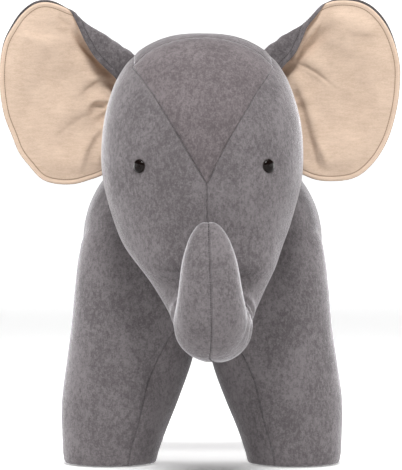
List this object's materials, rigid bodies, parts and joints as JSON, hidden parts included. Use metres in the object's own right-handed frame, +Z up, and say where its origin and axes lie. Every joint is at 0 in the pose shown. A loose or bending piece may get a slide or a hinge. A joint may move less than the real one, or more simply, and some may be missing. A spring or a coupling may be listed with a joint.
{
  "type": "stuffed elephant",
  "caption": "Standing plush elephant in grey velvet with beige-lined folded ears, a trunk curled up in front, dark domed eyes and four thick legs on a hidden timber frame.",
  "frame": {"origin": "on the floor, under the middle of the toy's overall length and width", "axes": "+Z up; the elephant faces -Y, so +Y runs from trunk to tail; +X is its own left side"},
  "size_m": [0.5162, 0.722, 0.5973],
  "materials": {
    "velvet": "short-pile velvet",
    "sole_velvet": "short-pile velvet",
    "cotton": "fine woven cotton",
    "filling": "polyester fibre",
    "foam": "open-cell foam",
    "pine": "planed",
    "plywood": "sanded",
    "eye_plastic": "polished",
    "washer_plastic": "moulded",
    "screw_steel": "zinc plated"
  },
  "bodies": {
    "torso": {"body_filling": "filling", "body_side_left": "velvet", "body_side_right": "velvet", "crown_panel": "velvet", "eye_left": "eye_plastic", "eye_right": "eye_plastic", "eye_washer_left": "washer_plastic", "eye_washer_right": "washer_plastic", "face_panel_left": "velvet", "face_panel_right": "velvet", "foot_disc_front_left": "plywood", "foot_disc_front_right": "plywood", "foot_disc_rear_left": "plywood", "foot_disc_rear_right": "plywood", "forehead_gusset": "velvet", "frame_screws": "screw_steel", "front_apron": "pine", "head_filling": "filling", "head_plate": "plywood", "leg_filling_front_left": "filling", "leg_filling_front_right": "filling", "leg_filling_rear_left": "filling", "leg_filling_rear_right": "filling", "leg_post_front_left": "pine", "leg_post_front_right": "pine", "leg_post_rear_left": "pine", "leg_post_rear_right": "pine", "neck_post": "pine", "rear_apron": "pine", "seat_board": "plywood", "seat_foam": "foam", "sole_front_left": "sole_velvet", "sole_front_right": "sole_velvet", "sole_rear_left": "sole_velvet", "sole_rear_right": "sole_velvet", "spine_rail": "pine", "tail_tab": "velvet", "underbody_gusset": "velvet"},
    "ear_left": {"ear_back_left": "velvet", "ear_lining_left": "cotton", "ear_padding_left": "filling"},
    "ear_right": {"ear_back_right": "velvet", "ear_lining_right": "cotton", "ear_padding_right": "filling"},
    "trunk_end": {"trunk_filling": "filling", "trunk_panel_left": "velvet", "trunk_panel_right": "velvet"},
    "tail": {"tail_upper": "velvet"},
    "tail_end": {"tail_lower": "velvet", "tail_tuft": "velvet"}
  },
  "joints": [
    {"name": "ear_left_flap", "type": "hinge", "parent": "torso", "child": "ear_left", "pos_m": [0.097, -0.085, 0.4525], "axis": [0.2971, 0, -0.9549], "range_deg": [-18, 34], "stiffness_Nm_per_rad": 1.2},
    {"name": "ear_right_flap", "type": "hinge", "parent": "torso", "child": "ear_right", "pos_m": [-0.097, -0.085, 0.4525], "axis": [0.2971, 0, 0.9549], "range_deg": [-18, 34], "stiffness_Nm_per_rad": 1.2},
    {"name": "trunk_bend", "type": "hinge", "parent": "torso", "child": "trunk_end", "pos_m": [0, -0.277, 0.188], "axis": [1, 0, 0], "range_deg": [-5, 32], "stiffness_Nm_per_rad": 8},
    {"name": "tail_swing", "type": "hinge", "parent": "torso", "child": "tail", "pos_m": [0, 0.3495, 0.332], "axis": [0, 1, 0], "range_deg": [-40, 40]},
    {"name": "tail_lift", "type": "hinge", "parent": "tail", "child": "tail_end", "pos_m": [0, 0.3495, 0.262], "axis": [1, 0, 0], "range_deg": [0, 50]}
  ]
}
